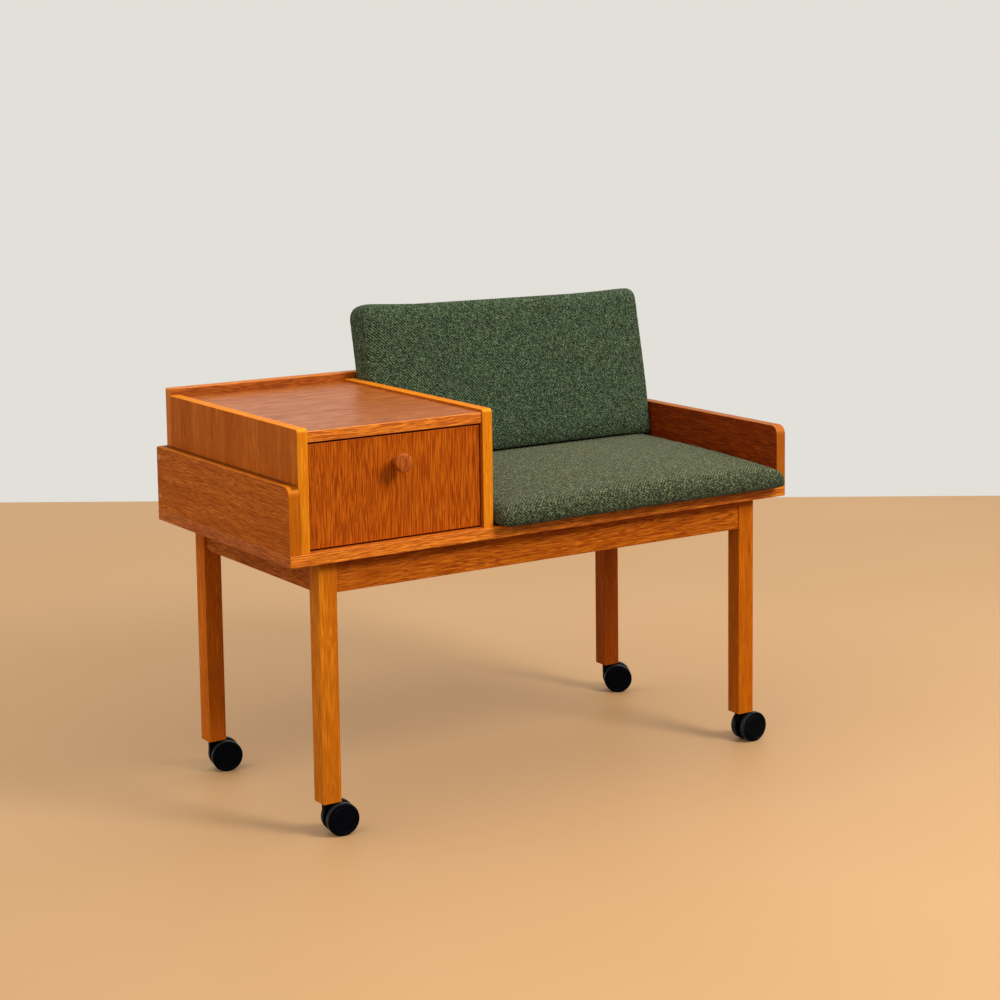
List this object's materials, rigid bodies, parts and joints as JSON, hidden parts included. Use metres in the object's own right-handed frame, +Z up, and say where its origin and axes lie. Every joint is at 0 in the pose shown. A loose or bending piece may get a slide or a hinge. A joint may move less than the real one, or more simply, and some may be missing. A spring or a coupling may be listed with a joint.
{
  "type": "telephone bench",
  "caption": "Low wooden telephone bench on castors: drawer box with a raised-edge top at one end, padded seat and leaning back cushion at the other, low end panels.",
  "frame": {"origin": "on the floor under the centre of the outer box", "axes": "+Z up, +X along the bench from the drawer box to the seat, -Y towards the front, where the drawer opens"},
  "size_m": [0.918, 0.478, 0.7347],
  "materials": {
    "veneer": "satin",
    "solid_wood": "satin",
    "inner_wood": "matt",
    "cushion_fabric": "woven",
    "screw_metal": "dull",
    "castor_metal": "bright",
    "castor_plastic": "satin"
  },
  "bodies": {
    "bench": {"seat_board": "veneer", "low_panel_left": "veneer", "low_panel_right": "veneer", "back_board": "veneer", "panel_screw_left_low": "screw_metal", "panel_screw_left_high": "screw_metal", "panel_screw_right_low": "screw_metal", "panel_screw_right_high": "screw_metal", "box_side_left": "veneer", "box_side_right": "veneer", "box_top": "veneer", "drawer_runner_left": "inner_wood", "drawer_runner_right": "inner_wood", "apron_front": "solid_wood", "apron_back": "solid_wood", "apron_left": "solid_wood", "apron_right": "solid_wood", "seat_cushion": "cushion_fabric", "back_cushion": "cushion_fabric", "leg_front_left": "solid_wood", "corner_block_front_left": "inner_wood", "castor_sleeve_front_left": "castor_metal", "leg_front_right": "solid_wood", "corner_block_front_right": "inner_wood", "castor_sleeve_front_right": "castor_metal", "leg_rear_left": "solid_wood", "corner_block_rear_left": "inner_wood", "castor_sleeve_rear_left": "castor_metal", "leg_rear_right": "solid_wood", "corner_block_rear_right": "inner_wood", "castor_sleeve_rear_right": "castor_metal"},
    "drawer": {"drawer_front": "veneer", "drawer_side_left": "inner_wood", "drawer_side_right": "inner_wood", "drawer_back": "inner_wood", "drawer_bottom": "inner_wood", "drawer_knob": "solid_wood", "knob_screw": "screw_metal"},
    "castor_front_left": {"castor_stem_front_left": "castor_metal", "castor_body_front_left": "castor_plastic", "castor_axle_front_left": "castor_metal"},
    "castor_front_right": {"castor_stem_front_right": "castor_metal", "castor_body_front_right": "castor_plastic", "castor_axle_front_right": "castor_metal"},
    "castor_rear_left": {"castor_stem_rear_left": "castor_metal", "castor_body_rear_left": "castor_plastic", "castor_axle_rear_left": "castor_metal"},
    "castor_rear_right": {"castor_stem_rear_right": "castor_metal", "castor_body_rear_right": "castor_plastic", "castor_axle_rear_right": "castor_metal"},
    "wheel_front_left_a": {"castor_wheel_front_left_a": "castor_plastic"},
    "wheel_front_left_b": {"castor_wheel_front_left_b": "castor_plastic"},
    "wheel_front_right_a": {"castor_wheel_front_right_a": "castor_plastic"},
    "wheel_front_right_b": {"castor_wheel_front_right_b": "castor_plastic"},
    "wheel_rear_left_a": {"castor_wheel_rear_left_a": "castor_plastic"},
    "wheel_rear_left_b": {"castor_wheel_rear_left_b": "castor_plastic"},
    "wheel_rear_right_a": {"castor_wheel_rear_right_a": "castor_plastic"},
    "wheel_rear_right_b": {"castor_wheel_rear_right_b": "castor_plastic"}
  },
  "joints": [
    {"name": "drawer_slide", "type": "slide", "parent": "bench", "child": "drawer", "axis": [0, -1, 0], "range_m": [0, 0.3]},
    {"name": "castor_swivel_front_left", "type": "hinge", "parent": "bench", "child": "castor_front_left", "pos_m": [-0.3903, -0.1793, 0.0523], "axis": [0, 0, 1], "continuous": true},
    {"name": "castor_swivel_front_right", "type": "hinge", "parent": "bench", "child": "castor_front_right", "pos_m": [0.3903, -0.1793, 0.0523], "axis": [0, 0, 1], "continuous": true},
    {"name": "castor_swivel_rear_left", "type": "hinge", "parent": "bench", "child": "castor_rear_left", "pos_m": [-0.3903, 0.2063, 0.0523], "axis": [0, 0, 1], "continuous": true},
    {"name": "castor_swivel_rear_right", "type": "hinge", "parent": "bench", "child": "castor_rear_right", "pos_m": [0.3903, 0.2063, 0.0523], "axis": [0, 0, 1], "continuous": true},
    {"name": "wheel_spin_front_left_a", "type": "hinge", "parent": "castor_front_left", "child": "wheel_front_left_a", "pos_m": [-0.37432, -0.19347, 0.025], "axis": [0.1564, 0.9877, 0], "continuous": true},
    {"name": "wheel_spin_front_left_b", "type": "hinge", "parent": "castor_front_left", "child": "wheel_front_left_b", "pos_m": [-0.37072, -0.17076, 0.025], "axis": [0.1564, 0.9877, 0], "continuous": true},
    {"name": "wheel_spin_front_right_a", "type": "hinge", "parent": "castor_front_right", "child": "wheel_front_right_a", "pos_m": [0.40869, -0.19016, 0.025], "axis": [-0.0349, 0.9994, 0], "continuous": true},
    {"name": "wheel_spin_front_right_b", "type": "hinge", "parent": "castor_front_right", "child": "wheel_front_right_b", "pos_m": [0.40789, -0.16718, 0.025], "axis": [-0.0349, 0.9994, 0], "continuous": true},
    {"name": "wheel_spin_rear_left_a", "type": "hinge", "parent": "castor_rear_left", "child": "wheel_rear_left_a", "pos_m": [-0.37535, 0.19105, 0.025], "axis": [0.225, 0.9744, 0], "continuous": true},
    {"name": "wheel_spin_rear_left_b", "type": "hinge", "parent": "castor_rear_left", "child": "wheel_rear_left_b", "pos_m": [-0.37017, 0.21346, 0.025], "axis": [0.225, 0.9744, 0], "continuous": true},
    {"name": "wheel_spin_rear_right_a", "type": "hinge", "parent": "castor_rear_right", "child": "wheel_rear_right_a", "pos_m": [0.40047, 0.18752, 0.025], "axis": [0.4848, 0.8746, 0], "continuous": true},
    {"name": "wheel_spin_rear_right_b", "type": "hinge", "parent": "castor_rear_right", "child": "wheel_rear_right_b", "pos_m": [0.41162, 0.20763, 0.025], "axis": [0.4848, 0.8746, 0], "continuous": true}
  ]
}
